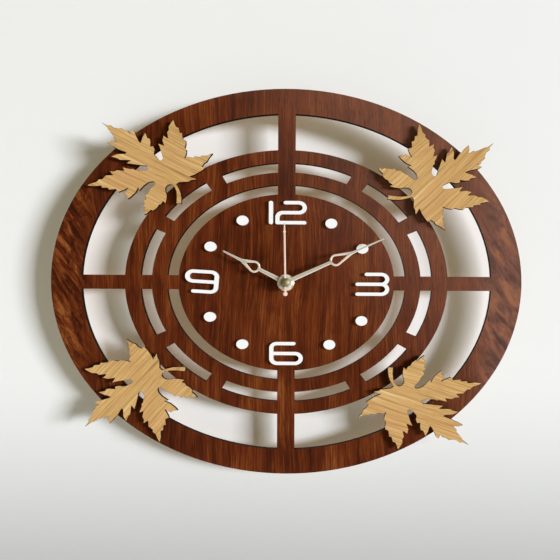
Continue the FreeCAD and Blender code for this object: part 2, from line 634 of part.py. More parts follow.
COVER_BOTTOM = BAY_TOP
cover = rounded_block(-CASE_HALF, CASE_HALF, COVER_BOTTOM, CASE_TOP, 0.0, COVER_THICK, 1.0)
cover = cover.cut(disc(KNOB_R + 0.5, -1, COVER_THICK + 1, *KNOB))
for x, z in SCREWS:
    cover = cover.fuse(disc(BOSS_R, COVER_THICK, PLATE_LAYER[0], x, z))
    cover = cover.cut(disc(SCREW_R + 0.1, -1, PLATE_LAYER[0] + 1, x, z))
    cover = cover.cut(disc(1.7, -1, 0.9, x, z))
parts["movement_cover"] = cover.removeSplitter()

plate_x = (-INNER + 0.2, 16.6)
bearing = block(plate_x[0], plate_x[1], BAY_TOP + 1.4, CASE_TOP - CASE_WALL - 0.2, *PLATE_LAYER)
bearing = joined([bearing, block(16.0, INNER - 0.2, 18.0, CASE_TOP - CASE_WALL - 0.2,
                                 *PLATE_LAYER)])
for spot, radius in ((MAIN, ARBOR_R + RUN), (THIRD, THIRD_ARBOR_R + RUN), (INTERMEDIATE, PIN_R),
                     (ROTOR, PIN_R), (KNOB, KNOB_ARBOR_R + RUN)):
    bearing = bearing.cut(disc(radius, PLATE_LAYER[0] - 1, PLATE_LAYER[1] + 1, *spot))
for x, z in SCREWS:
    bearing = bearing.cut(disc(SCREW_R + 0.1, PLATE_LAYER[0] - 1, PLATE_LAYER[1] + 1, x, z))
parts["bearing_plate"] = bearing

screws = []
for x, z in SCREWS:
    shank = disc(SCREW_R, 0.9, PLATE_LAYER[1] + 5.5, x, z)
    head = disc(1.6, 0.2, 0.9, x, z).cut(block(x - 1.8, x + 1.8, z - 0.2, z + 0.2, 0.0, 0.5))
    screws.append(joined([shank, head]))
parts["case_screws"] = Part.Compound(screws)

# Steel hanger: a plate trapped between the case top and the cover, with a round nail hole.
HANGER_TOP = CASE_TOP + 12.0
NAIL_R = 3.0
NAIL_Z = CASE_TOP + 6.5
hanger = rounded_block(-8.0, 8.0, CASE_TOP, HANGER_TOP, COVER_THICK, COVER_THICK + 1.5, 2.0)
hanger = hanger.cut(disc(NAIL_R, 0.0, 5.0, 0.0, NAIL_Z))
parts["hanger"] = hanger

# ---- hardware that clamps the movement to the dial -------------------------------------------
parts["rubber_washer"] = disc(11.0, CASE_DEPTH, PLATE_BACK, bore=BUSH_R)
parts["brass_washer"] = disc(6.6, PLATE_FRONT, WASHER_FRONT, bore=BUSH_R)
hexagon = [polar(MAIN, 5.0 / math.cos(math.radians(30)), 60 * i) for i in range(6)]
parts["fixing_nut"] = slab([polygon(hexagon), circle(BUSH_R)], WASHER_FRONT, NUT_FRONT)

# ---- motor and electronics ------------------------------------------------------------------
COIL_X = 21.0
COIL_Z = (-9.5, 7.5)
CORE_LAYER = (5.6, 6.4)
STATOR_LAYER = (4.8, 5.6)
core_mid = (CORE_LAYER[0] + CORE_LAYER[1]) / 2
parts["coil_core"] = block(COIL_X - 1.0, COIL_X + 1.0, COIL_Z[0] - 2.6, COIL_Z[1] + 2.6,
                           *CORE_LAYER)
bobbin = block(COIL_X - 1.6, COIL_X + 1.6, COIL_Z[0], COIL_Z[1], CORE_LAYER[0] - 0.5,
               CORE_LAYER[1] + 0.5)
for end in (COIL_Z[0], COIL_Z[1] - 0.8):
    bobbin = bobbin.fuse(block(COIL_X - 3.0, COIL_X + 3.0, end, end + 0.8, core_mid - 2.8,
                               core_mid + 2.8))
bobbin = bobbin.cut(block(COIL_X - 1.0, COIL_X + 1.0, -50, 50, *CORE_LAYER))
parts["coil_bobbin"] = bobbin.removeSplitter()
winding = block(COIL_X - 2.6, COIL_X + 2.6, COIL_Z[0] + 0.8, COIL_Z[1] - 0.8, core_mid - 2.4,
                core_mid + 2.4)
winding = winding.cut(block(COIL_X - 1.6, COIL_X + 1.6, -50, 50, CORE_LAYER[0] - 0.5,
                            CORE_LAYER[1] + 0.5))
parts["coil_winding"] = winding

stator = joined([
    disc(5.2, *STATOR_LAYER, *ROTOR),
    block(ROTOR[0] - 1.0, COIL_X + 1.4, COIL_Z[0] - 2.8, COIL_Z[0] - 0.6, *STATOR_LAYER),
    block(14.3, 16.9, ROTOR[1] + 2.0, COIL_Z[1] + 2.8, *STATOR_LAYER),
    block(14.3, COIL_X + 1.4, COIL_Z[1] + 0.6, COIL_Z[1] + 2.8, *STATOR_LAYER),
])
parts["stator_plate"] = stator.cut(disc(MAGNET_R + 0.4, 0.0, 10.0, *ROTOR))

BOARD_LAYER = (2.0, 2.8)
parts["circuit_board"] = block(-25.0, -6.0, -8.0, 16.0, *BOARD_LAYER)
parts["chip"] = disc(2.2, 1.5, BOARD_LAYER[0], -13.0, 8.0)
parts["quartz_crystal"] = rounded_block(-22.1, -18.9, -3.0, -1.5, 1.5, BOARD_LAYER[0], 0.2)

# ---- battery and its contacts ---------------------------------------------------------------
CELL_R = 7.1
CELL_LENGTH = 49.5
CELL_Z = (CASE_BOTTOM + CASE_WALL + BAY_TOP) / 2
CELL_DEPTH = 7.6
cell = Part.makeCylinder(CELL_R, CELL_LENGTH - 1.2, vec(-CELL_LENGTH / 2, CELL_Z, CELL_DEPTH),
                         FreeCAD.Vector(1, 0, 0))
cell = cell.makeFillet(0.6, [e for e in cell.Edges if len(e.Vertexes) == 1])
nub = Part.makeCylinder(2.6, 1.7, vec(CELL_LENGTH / 2 - 1.7, CELL_Z, CELL_DEPTH),
                        FreeCAD.Vector(1, 0, 0))
parts["battery_cell"] = joined([cell, nub])
for name, side in (("battery_contact_positive", 1), ("battery_contact_negative", -1)):
    face = side * INNER
    leaf = block(min(face, face - side * 0.4), max(face, face - side * 0.4), CELL_Z - 4.5,
                 CELL_Z + 4.5, CELL_DEPTH - 4.0, CELL_DEPTH + 4.5)
    gap = INNER - 0.4 - CELL_LENGTH / 2
    bump = Part.makeCone(2.4, 1.2, gap, vec(face - side * 0.4, CELL_Z, CELL_DEPTH),
                         FreeCAD.Vector(-side, 0, 0))
    parts[name] = joined([leaf, bump])

os.makedirs("parts", exist_ok=True)
for node, shape in parts.items():
    shape.exportStep("parts/" + node + ".step")
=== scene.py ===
import math

import bmesh
import bpy
import numpy as np
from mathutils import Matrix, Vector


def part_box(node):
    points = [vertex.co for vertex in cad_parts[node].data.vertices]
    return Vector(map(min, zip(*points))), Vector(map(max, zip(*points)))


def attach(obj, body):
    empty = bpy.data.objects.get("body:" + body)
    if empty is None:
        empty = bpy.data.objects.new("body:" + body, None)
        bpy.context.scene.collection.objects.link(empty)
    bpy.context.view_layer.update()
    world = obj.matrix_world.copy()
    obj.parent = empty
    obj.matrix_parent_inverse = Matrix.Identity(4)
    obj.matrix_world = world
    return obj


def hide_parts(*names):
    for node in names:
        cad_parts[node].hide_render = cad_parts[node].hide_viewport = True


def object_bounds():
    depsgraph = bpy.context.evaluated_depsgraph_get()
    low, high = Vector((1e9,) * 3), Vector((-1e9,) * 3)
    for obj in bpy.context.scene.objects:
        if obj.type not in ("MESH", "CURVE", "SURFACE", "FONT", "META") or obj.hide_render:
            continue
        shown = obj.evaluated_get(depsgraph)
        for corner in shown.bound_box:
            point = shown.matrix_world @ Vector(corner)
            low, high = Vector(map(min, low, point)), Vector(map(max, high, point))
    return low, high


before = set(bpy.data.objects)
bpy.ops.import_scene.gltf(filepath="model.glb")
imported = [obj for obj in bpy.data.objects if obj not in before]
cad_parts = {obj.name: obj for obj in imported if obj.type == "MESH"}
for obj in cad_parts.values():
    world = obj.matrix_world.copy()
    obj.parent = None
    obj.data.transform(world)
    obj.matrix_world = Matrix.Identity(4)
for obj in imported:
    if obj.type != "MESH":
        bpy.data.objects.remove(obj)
cad_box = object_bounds()


# ---- Dial -----------------------------------------------------------------------------------
# One sheet of 4 mm MDF with walnut veneer on its face, laser cut into a rim, two rings and a
# centre disc held by four spokes. The beam leaves every cut edge charred almost black. The
# leaves and hour marks are glued to it, and the movement is clamped behind its centre.
MM = 0.001
HALF_WIDTH = cad_box[1].x
SHARP = math.radians(38)


class Value:
    """One socket of a material's nodes. Arithmetic on it adds Math nodes."""

    def __init__(self, finish, socket):
        self.finish = finish
        self.socket = socket

    def __add__(self, other):
        return self.finish.node("Math", {"operation": "ADD"}, {0: self, 1: other})

    def __sub__(self, other):
        return self.finish.node("Math", {"operation": "SUBTRACT"}, {0: self, 1: other})

    def __rsub__(self, other):
        return self.finish.node("Math", {"operation": "SUBTRACT"}, {0: other, 1: self})

    def __mul__(self, other):
        return self.finish.node("Math", {"operation": "MULTIPLY"}, {0: self, 1: other})

    __radd__ = __add__
    __rmul__ = __mul__


class Finish:
    """A material being mixed: its nodes, and the Principled shader that they feed."""

    def __init__(self, name, **constants):
        self.material = bpy.data.materials.new(name)
        self.material.use_nodes = True
        self.nodes = self.material.node_tree.nodes
        self.links = self.material.node_tree.links
        self.shader = self.nodes["Principled BSDF"]
        for socket, value in constants.items():
            self.shader.inputs[socket.replace("_", " ")].default_value = value
        self.place = self.node("TexCoord", {}, {}, "Object")

    def node(self, kind, settings, inputs, output=0):
        """Any node: its settings are set first, then the values or links of its sockets."""
        made = self.nodes.new("ShaderNode" + kind)
        for key, value in settings.items():
            if key == "stops":
                ramp = made.color_ramp.elements
                for _ in value[2:]:
                    ramp.new(1.0)
                for stop, (position, colour) in zip(ramp, value):
                    stop.position = position
                    stop.color = (*colour, 1.0)
            else:
                setattr(made, key, value)
        for key, value in inputs.items():
            if isinstance(value, Value):
                self.links.new(value.socket, made.inputs[key])
            else:
                made.inputs[key].default_value = value
        return Value(self, made.outputs[output])

    def axis(self, vector, letter):
        """One coordinate of a vector."""
        return self.node("SeparateXYZ", {}, {0: vector}, letter)

    def point(self, x, y, z):
        return self.node("CombineXYZ", {}, {0: x, 1: y, 2: z})

    def scaled(self, vector, sizes):
        """The vector divided by the sizes in millimetres that one unit of a pattern covers."""
        shares = tuple(1.0 / (size * MM) for size in sizes)
        return self.node("VectorMath", {"operation": "MULTIPLY"}, {0: vector, 1: shares})

    def noise(self, vector, sizes, detail=2.0, roughness=0.5, distortion=0.0):
        """Soft noise from 0 to 1, whose blobs have these sizes in millimetres."""
        return self.node(
            "TexNoise",
            {},
            {"Vector": self.scaled(vector, sizes), "Scale": 1.0, "Detail": detail,
             "Roughness": roughness, "Distortion": distortion},
        )

    def step(self, value, low, high):
        """0 below low, 1 above high, and a smooth rise between them."""
        return self.node(
            "MapRange",
            {"interpolation_type": "SMOOTHSTEP"},
            {"Value": value, "From Min": low, "From Max": high},
        )

    def mixed(self, share, first, second):
        """Two colours mixed, the second one by the share."""
        colours = [c if isinstance(c, Value) else (*c, 1.0) for c in (first, second)]
        return self.node(
            "Mix", {"data_type": "RGBA"}, {0: share, 6: colours[0], 7: colours[1]}, 2
        )

    def ramp(self, value, stops):
        return self.node("ValToRGB", {"stops": stops}, {0: value})

    def feed(self, colour=None, roughness=None, height=None, relief=0.0, **others):
        """Links the shader's sockets. Height, from 0 to 1, is raised by the relief in mm."""
        others["Base Color"] = colour
        others["Roughness"] = roughness
        if height is not None:
            others["Normal"] = self.node(
                "Bump", {}, {"Strength": 1.0, "Distance": relief * MM, "Height": height}
            )
        for socket, value in others.items():
            if value is not None:
                self.links.new(value.socket, self.shader.inputs[socket])
        return self.material

    def facing(self):
        """How far the surface faces the room (1), the side (0) or the wall (-1)."""
        return self.axis(self.node("TexCoord", {}, {}, "Normal"), "Y") * -1.0


def charred_edge(finish, face, back):
    """The face colour in front, the board's own brown behind, and a charred cut edge."""
    soot = finish.noise(finish.place, (1.6, 40.0, 1.6), 3.0)
    char = finish.ramp(soot, [(0.3, (0.004, 0.003, 0.002)), (0.75, (0.020, 0.010, 0.006))])
    side = finish.mixed(finish.step(finish.facing(), 0.70, 0.97), char, face)
    return finish.mixed(finish.step(finish.facing() * -1.0, 0.35, 0.85), side, back)


def board_back(finish):
    """Raw MDF: pressed fibres of a dull light brown."""
    fibre = finish.noise(finish.place, (0.9, 0.9, 0.9), 4.0, 0.7)
    return finish.ramp(fibre, [(0.3, (0.17, 0.105, 0.058)), (0.7, (0.30, 0.20, 0.12))])


def walnut():
    """Walnut veneer: upright grain that opens into slanted flames on both sides of the rim,
    smoky pinkish-grey patches over those on the right, partly figure and partly painted sheen
    of the window, and a painted sheen that grows paler towards the upper right."""
    f = Finish("walnut_veneer", Specular_IOR_Level=0.04)
    x = f.axis(f.place, "X")
    z = f.axis(f.place, "Z")
    outward = f.node("Math", {"operation": "ABSOLUTE"}, {0: x})
    flank = f.step(outward, HALF_WIDTH - 37.5 * MM, HALF_WIDTH - 13.5 * MM)
    lean = f.noise(f.place, (58.0, 300.0, 140.0), 1.0) - 0.5
    ripple = f.noise(f.place, (20.0, 300.0, 28.0), 3.0, 0.55) - 0.5
    across = x + flank * z * 0.30 + lean * (24 * MM) + ripple * (3 * MM + flank * (12 * MM))
    grain = f.point(across, 0.0, z)
    bands = f.noise(grain, (6.5, 300.0, 230.0), 2.0, 0.6)
    streaks = f.noise(grain, (1.35, 300.0, 60.0), 3.0, 0.7)
    patches = f.noise(f.place, (38.0, 300.0, 55.0), 2.0)
    fibres = f.noise(grain, (0.40, 300.0, 15.0), 2.0)
    pores = f.step(f.noise(grain, (0.55, 300.0, 8.0), 1.0), 0.58, 0.70)
    field = f.noise(grain, (36.0, 300.0, 190.0), 1.0) * 13.0 + streaks * 0.7
    ring = f.node("Math", {"operation": "FRACT"}, {0: field})
    late = f.step(ring, 0.25, 0.92) * (1.0 - f.step(ring, 0.92, 1.0))
    broken = f.step(f.noise(grain, (9.0, 300.0, 34.0), 2.0), 0.34, 0.62)
    tone = 0.5 + (bands - 0.5) * 0.9 + (streaks - 0.5) * 1.25 + (patches - 0.5) * 0.8
    tone = tone + (fibres - 0.5) * 0.9 - late * broken * 0.14
    slant = f.node(
        "Mapping",
        {"vector_type": "TEXTURE"},
        {"Vector": f.place, "Rotation": (0.0, math.radians(-34.0), 0.0)},
    )
    flame = f.noise(slant, (5.0, 300.0, 27.0), 3.0, 0.6, 0.9)
    curl = f.noise(slant, (9.0, 300.0, 20.0), 2.0, 0.5, 2.2)
    vein = f.step(f.node("Math", {"operation": "ABSOLUTE"}, {0: curl - 0.5}), 0.0, 0.035)
    flamed = 0.53 + (flame - 0.5) * 3.3 + (streaks - 0.5) * 0.6 - (1.0 - vein) * 0.34
    tone = tone + (flamed - tone) * flank
    wood = f.ramp(
        tone,
        [(0.10, (0.036, 0.008, 0.003)), (0.36, (0.078, 0.015, 0.004)),
         (0.54, (0.115, 0.023, 0.005)), (0.76, (0.172, 0.044, 0.010)),
         (1.00, (0.250, 0.082, 0.022))],
    )
    ruddy = f.noise(f.place, (24.0, 300.0, 60.0), 2.0)
    wood = f.mixed(f.step(ruddy, 0.5, 0.8) * 0.35, wood, (0.130, 0.020, 0.007))
    # Painted sheen: the veneer is mixed towards a pale pink up to the upper right, standing in for
    # the window's reflection.
    painted_sheen = f.step(x + z * 0.7, 0.0, 210 * MM)
    wood = f.mixed(painted_sheen * 0.42, wood, (0.260, 0.132, 0.092))
    # Partly figure, partly painted sheen: pale pinkish-grey blotches on the right rim stand in for
    # the window's reflection on that side.
    smoke_and_sheen = f.ramp(
        f.noise(slant, (8.0, 300.0, 24.0), 3.0, 0.6, 0.8),
        [(0.36, (0.080, 0.046, 0.038)), (0.50, (0.180, 0.082, 0.060)),
         (0.64, (0.340, 0.140, 0.075))],
    )
    right_rim = f.step(x, HALF_WIDTH - 43.5 * MM, HALF_WIDTH - 18.5 * MM)
    wood = f.mixed(right_rim * 0.70, wood, smoke_and_sheen)
    wood = f.mixed(pores * 0.42, wood, (0.020, 0.006, 0.003))
    colour = charred_edge(f, wood, board_back(f))
    front = f.step(f.facing(), 0.5, 0.9)
    rough = 0.96 - front * (0.50 - (streaks - 0.5) * 0.22 - pores * 0.12)
    height = 0.7 - pores * 0.6 + (fibres - 0.5) * 0.5 + (bands - 0.5) * 0.25
    return f.feed(colour, rough, height, 0.035)


def put(piece, body, material, slot, *nodes):
    """Gives a piece its material and its body, and hides the CAD nodes that it stands for. The slot
    is not used.
    """
    piece.data.materials.clear()
    piece.data.materials.append(material)
    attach(piece, body)
    if nodes:
        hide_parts(*nodes)
    return piece


def eased(name, node, width, segments=2):
    """A copy of a CAD node, its loose triangles merged, with every sharp edge rounded off."""
    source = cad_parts[node].data
    points = np.zeros(len(source.vertices) * 3)
    corners = np.zeros(len(source.loops), np.int32)
    source.vertices.foreach_get("co", points)
    source.loops.foreach_get("vertex_index", corners)
    mesh = bpy.data.meshes.new(name)
    mesh.from_pydata(points.reshape(-1, 3), [], corners.reshape(-1, 3))
    shape = bmesh.new()
    shape.from_mesh(mesh)
    bmesh.ops.remove_doubles(shape, verts=shape.verts, dist=0.002 * MM)
    shape.to_mesh(mesh)
    shape.free()
    mesh.shade_smooth()
    mesh.set_sharp_from_angle(angle=SHARP)
    piece = bpy.data.objects.new(name, mesh)
    bpy.context.scene.collection.objects.link(piece)
    rounding = piece.modifiers.new("eased_edges", "BEVEL")
    rounding.width = width * MM
    rounding.segments = segments
    rounding.limit_method = "ANGLE"
    rounding.angle_limit = SHARP
    rounding.harden_normals = True
    return piece


CLOCK = "clock_frame"
put(eased("walnut_dial", "dial_plate", 0.18), CLOCK, walnut(), "walnut_veneer", "dial_plate")


# ---- Maple leaves ---------------------------------------------------------------------------
# Four leaves cut from 3 mm board with a pale oak veneer. The sheet was laid in the laser
# a little differently each time, so the grain runs another way on each. They are glued to
# foam pads, which lift them off the dial and let them throw a shadow on it.
GRAIN_LEAN = {"top_left": -26.0, "top_right": 43.0, "bottom_left": 47.0, "bottom_right": -18.0}


def oak(corner, degrees):
    """Pale oak veneer whose grain leans by the given angle, with dark dashes for pores."""
    f = Finish("oak_" + corner, Specular_IOR_Level=0.05)
    low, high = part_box("maple_leaf_" + corner)
    middle = (low + high) / 2
    turned = f.node(
        "Mapping",
        {"vector_type": "TEXTURE"},
        {"Vector": f.place, "Location": middle, "Rotation": (0.0, math.radians(-degrees), 0.0)},
    )
    wander = (f.noise(turned, (48.0, 300.0, 20.0), 1.0) - 0.5) * (4 * MM)
    grain = f.point(f.axis(turned, "X"), 0.0, f.axis(turned, "Z") + wander)
    bands = f.noise(grain, (170.0, 300.0, 4.6), 2.0, 0.6)
    lines = f.noise(grain, (75.0, 300.0, 0.85), 3.0, 0.65)
    fibres = f.noise(grain, (16.0, 300.0, 0.26), 2.0)
    pores = f.step(f.noise(grain, (5.5, 300.0, 0.34), 1.0), 0.62, 0.76)
    tone = 0.5 + (bands - 0.5) * 0.9 + (lines - 0.5) * 1.8 + (fibres - 0.5) * 0.8
    wood = f.ramp(
        tone,
        [(0.10, (0.330, 0.170, 0.060)), (0.38, (0.500, 0.290, 0.105)),
         (0.60, (0.620, 0.385, 0.145)), (0.90, (0.760, 0.540, 0.260))],
    )
    warm = f.noise(turned, (30.0, 300.0, 18.0), 1.0)
    wood = f.mixed(f.step(warm, 0.45, 0.75) * 0.35, wood, (0.560, 0.290, 0.120))
    wood = f.mixed(pores * 0.45, wood, (0.230, 0.110, 0.038))
    colour = charred_edge(f, wood, board_back(f))
    rough = 0.56 + (lines - 0.5) * 0.2 + pores * 0.15
    height = 0.7 - pores * 0.6 + (fibres - 0.5) * 0.5
    return f.feed(colour, rough, height, 0.03)


for corner, degrees in GRAIN_LEAN.items():
    node = "maple_leaf_" + corner
    put(eased("oak_leaf_" + corner, node, 0.22, 1), CLOCK, oak(corner, degrees), "oak_veneer", node)


def dress(material, *nodes):
    """Gives CAD nodes that keep their own shape a material."""
    for node in nodes:
        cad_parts[node].data.materials.clear()
        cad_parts[node].data.materials.append(material)


def foam():
    """Black closed-cell foam tape."""
    f = Finish("foam_tape", Specular_IOR_Level=0.2)
    cells = f.node("TexVoronoi", {}, {"Vector": f.scaled(f.place, (0.4, 0.4, 0.4)), "Scale": 1.0})
    colour = f.ramp(cells, [(0.1, (0.010, 0.010, 0.010)), (0.7, (0.045, 0.045, 0.047))])
    return f.feed(colour, 0.75 + cells * 0.2, cells, 0.08)


dress(foam(), "leaf_mounting_pads")


# ---- Hour marks -----------------------------------------------------------------------------
# The numerals 12, 3, 6 and 9 and eight dots, cut from 2.5 mm white acrylic and glued to the
# disc. The beam that cuts them leaves glossy edges with slightly rounded corners.
def acrylic():
    """White acrylic, with the faint waves and dust scratches of a wiped sheet."""
    f = Finish("white_acrylic", Specular_IOR_Level=0.5, Coat_Weight=0.35, Coat_Roughness=0.06)
    cloud = f.noise(f.place, (9.0, 9.0, 9.0), 2.0)
    wipe = f.noise(f.place, (0.25, 4.0, 5.0), 2.0)
    colour = f.mixed(cloud, (0.90, 0.91, 0.90), (0.95, 0.95, 0.93))
    return f.feed(colour, 0.16 + wipe * 0.12, cloud * 0.6 + wipe * 0.1, 0.02)


white = acrylic()
for name in ("numeral_twelve", "numeral_three", "numeral_six", "numeral_nine", "hour_dots"):
    put(eased("acrylic_" + name, name, 0.28, 3), CLOCK, white, "white_acrylic", name)


# ---- Motor and electronics ------------------------------------------------------------------
# A coil of enamelled copper wire on an acetal bobbin drives the rotor through a steel stator.
# The circuit board is green laminate, with the chip under a blob of black epoxy and a small
# metal can that holds the quartz crystal. All of it is laid in the movement first.
def moulded(name, tint, roughness, grain=0.35, relief=0.02, specular=0.4):
    """Moulded plastic or rubber with a fine eroded grain."""
    f = Finish(name, Specular_IOR_Level=specular)
    pebble = f.noise(f.place, (grain, grain, grain), 3.0, 0.6)
    wear = f.noise(f.place, (7.0, 7.0, 7.0), 3.0)
    lighter = tuple(channel * 1.35 + 0.004 for channel in tint)
    colour = f.mixed(f.step(wear, 0.4, 0.7), tint, lighter)
    return f.feed(colour, roughness + (pebble - 0.5) * 0.2 + (wear - 0.5) * 0.15, pebble, relief)


def plated(name, tint, roughness):
    """Plated sheet steel: rolling lines, cloudy zinc, and a few dull spots."""
    f = Finish(name, Metallic=1.0)
    rolled = f.noise(f.place, (0.2, 1.0, 12.0), 3.0, 0.6)
    cloud = f.noise(f.place, (2.2, 2.2, 2.2), 3.0)
    dark = tuple(channel * 0.62 for channel in tint)
    colour = f.mixed(f.step(cloud, 0.4, 0.75), tint, dark)
    return f.feed(colour, roughness + (cloud - 0.5) * 0.3 + (rolled - 0.5) * 0.12, rolled, 0.008)


def winding():
    """Copper wire wound in close turns, which show as fine ridges along the coil."""
    f = Finish("enamelled_copper", Metallic=0.9, Coat_Weight=0.6, Coat_Roughness=0.1)
    turns = f.node(
        "TexWave", {"bands_direction": "Z"}, {"Vector": f.place, "Scale": 1.0 / (0.4 * MM)}
    )
    drift = f.noise(f.place, (1.5, 1.5, 1.5), 2.0)
    colour = f.mixed(drift, (0.46, 0.17, 0.07), (0.66, 0.28, 0.12))
    return f.feed(colour, 0.26 + drift * 0.14, turns, 0.05)


def laminate():
    """Green solder mask over copper tracks."""
    f = Finish("circuit_laminate", Specular_IOR_Level=0.5, Coat_Weight=0.4, Coat_Roughness=0.2)
    tracks = f.node(
        "TexBrick",
        {},
        {"Vector": f.place, "Scale": 1.0 / (3.0 * MM), "Mortar Size": 0.06, "Color1": (0, 0, 0, 1),
         "Color2": (0, 0, 0, 1), "Mortar": (1, 1, 1, 1)},
        "Fac",
    )
    weave = f.noise(f.place, (0.3, 0.3, 0.3), 2.0)
    colour = f.mixed(tracks, (0.012, 0.110, 0.045), (0.030, 0.200, 0.085))
    return f.feed(colour, 0.36 + weave * 0.16, tracks + weave * 0.1, 0.03)


acetal = moulded("white_acetal", (0.60, 0.59, 0.55), 0.36, 0.5, 0.01, 0.5)
ground_steel = plated("ground_steel", (0.56, 0.57, 0.59), 0.22)
dress(acetal, "coil_bobbin")
dress(winding(), "coil_winding")
dress(ground_steel, "coil_core", "stator_plate", "quartz_crystal")
dress(laminate(), "circuit_board")
dress(moulded("chip_epoxy", (0.010, 0.010, 0.011), 0.16, 1.2, 0.03, 0.6), "chip")


# ---- Gear train -----------------------------------------------------------------------------
# White acetal wheels and pinions run between the case and a rear bearing plate, on steel
# arbors and pins. The rotor is a small ferrite magnet pressed on its pinion.
dress(acetal, "rotor_pinion", "intermediate_wheel", "seconds_wheel", "third_wheel",
      "centre_wheel", "minute_arbor", "motion_wheel", "hour_wheel", "setting_arbor")
dress(ground_steel, "seconds_arbor", "third_arbor", "train_pins")
dress(moulded("ferrite", (0.030, 0.030, 0.033), 0.45, 0.2, 0.01, 0.6), "rotor_magnet")


# ---- Movement case, cover and hanger --------------------------------------------------------
# The box of the quartz movement is moulded in black ABS with a fine eroded texture: a case
# with the threaded bush and the battery bay, and a flat cover behind, held by three screws. A
# zinc-plated steel hanger with a round nail hole is trapped between them.
black = moulded("black_abs", (0.016, 0.016, 0.017), 0.52)
put(eased("case_shell", "movement_case", 0.22), CLOCK, black, "black_abs", "movement_case")
put(eased("cover_shell", "movement_cover", 0.25), CLOCK, black, "black_abs", "movement_cover")
put(eased("ribbed_knob", "setting_knob", 0.15), "setting_knob_group", black, "black_abs",
    "setting_knob")
dress(black, "bearing_plate")
zinc = plated("zinc_plated_steel", (0.60, 0.61, 0.62), 0.34)
put(eased("steel_hanger", "hanger", 0.25), CLOCK, zinc, "steel", "hanger")
put(eased("cover_screws", "case_screws", 0.12), CLOCK, zinc, "steel", "case_screws")


# ---- Clamping hardware ----------------------------------------------------------------------
# The dial is clamped between a rubber washer on the movement and a thin brass washer, by a
# brass hexagon nut on the threaded bush.
def turned_metal(name, tint, roughness, ring=0.35):
    """Metal turned on a lathe: fine rings about the axis of the hands, and a dull film."""
    f = Finish(name, Metallic=1.0)
    x = f.axis(f.place, "X")
    z = f.axis(f.place, "Z")
    radius = f.node("Math", {"operation": "SQRT"}, {0: x * x + z * z})
    rings = f.noise(f.point(radius, 0.0, 0.0), (ring, 1.0, 1.0), 3.0)
    film = f.noise(f.place, (2.5, 2.5, 2.5), 3.0)
    dull = tuple(channel * 0.72 for channel in tint)
    colour = f.mixed(f.step(film, 0.35, 0.75) * 0.6, tint, dull)
    return f.feed(colour, roughness + (rings - 0.5) * 0.16 + (film - 0.5) * 0.14, rings, 0.006)


brass = turned_metal("brass", (0.78, 0.57, 0.25), 0.28)
put(eased("hex_nut", "fixing_nut", 0.35), CLOCK, brass, "brass", "fixing_nut")
put(eased("thin_washer", "brass_washer", 0.08), CLOCK, brass, "brass", "brass_washer")
rubber = moulded("black_rubber", (0.018, 0.018, 0.019), 0.78, 0.6, 0.03, 0.25)
put(eased("rubber_ring", "rubber_washer", 0.2), CLOCK, rubber, "black_rubber", "rubber_washer")


# ---- Hour and minute hands ------------------------------------------------------------------
# Stamped from 0.4 mm aluminium sheet and lacquered champagne. The press raises a low rib
# along the shaft and round the open drop. A turned boss is riveted behind the hub and grips
# the pipe of the hour wheel or the tube of the minute arbor.
def shown(name, points, faces, shade=None):
    """A new smooth mesh from arrays of points and faces, doubled points merged. Shade, when
    given, is one value per point that the material reads."""
    mesh = bpy.data.meshes.new(name)
    mesh.from_pydata(points, [], faces)
    if shade is not None:
        mesh.attributes.new("shade", "FLOAT", "POINT").data.foreach_set("value", shade)
    shape = bmesh.new()
    shape.from_mesh(mesh)
    bmesh.ops.remove_doubles(shape, verts=shape.verts, dist=0.004 * MM)
    bmesh.ops.dissolve_degenerate(shape, dist=0.004 * MM, edges=shape.edges)
    shape.to_mesh(mesh)
    shape.free()
    mesh.shade_smooth()
    mesh.set_sharp_from_angle(angle=math.radians(40))
    piece = bpy.data.objects.new(name, mesh)
    bpy.context.scene.collection.objects.link(piece)
    return piece


def quads(rows, columns, close_rows=False, close_columns=False):
    """The faces of a grid of points counted row by row, with either way round closed or not."""
    i = np.arange(rows if close_rows else rows - 1)[:, None]
    j = np.arange(columns if close_columns else columns - 1)[None, :]
    ni = (i + 1) % rows
    nj = (j + 1) % columns
    corners = (i * columns + j, i * columns + nj, ni * columns + nj, ni * columns + j)
    return np.stack(np.broadcast_arrays(*corners), -1).reshape(-1, 4)


def revolved(profile, closed, steps=64):
    """Turns a profile of (radius, depth) pairs about the axis of the hands: x is the radius
    times the sine of the turn, z times its cosine, and y is minus the depth."""
    profile = np.array(profile)
    turn = np.linspace(0.0, 2 * np.pi, steps, endpoint=False)[:, None]
    radius, depth = profile[:, 0][None, :], profile[:, 1][None, :]
    grid = np.broadcast_arrays(radius * np.sin(turn), -depth, radius * np.cos(turn))
    return np.stack(grid, -1).reshape(-1, 3), quads(steps, len(profile), True, closed)


def half_round(u, centre, radius):
    """Half the width of a disc at the distance u along the hand."""
    return np.sqrt(np.clip(radius**2 - (u - centre) ** 2, 0.0, None))


def teardrop(u, start, radius, apex):
    """Half the width of a drop: a round end at start, then straight sides to its apex."""
    centre = start + radius
    sine = radius / (apex - centre)
    touch = centre + radius * sine
    sides = (apex - u) * sine / math.sqrt(1 - sine**2)
    width = np.where(u < touch, half_round(u, centre, radius), sides)
    return np.where((u > start) & (u < apex), width, 0.0)


def ease(value, low, high):
    """0 below low, 1 above high, with a smooth rise between."""
    t = np.clip((value - low) / (high - low), 0.0, 1.0)
    return t * t * (3 - 2 * t)


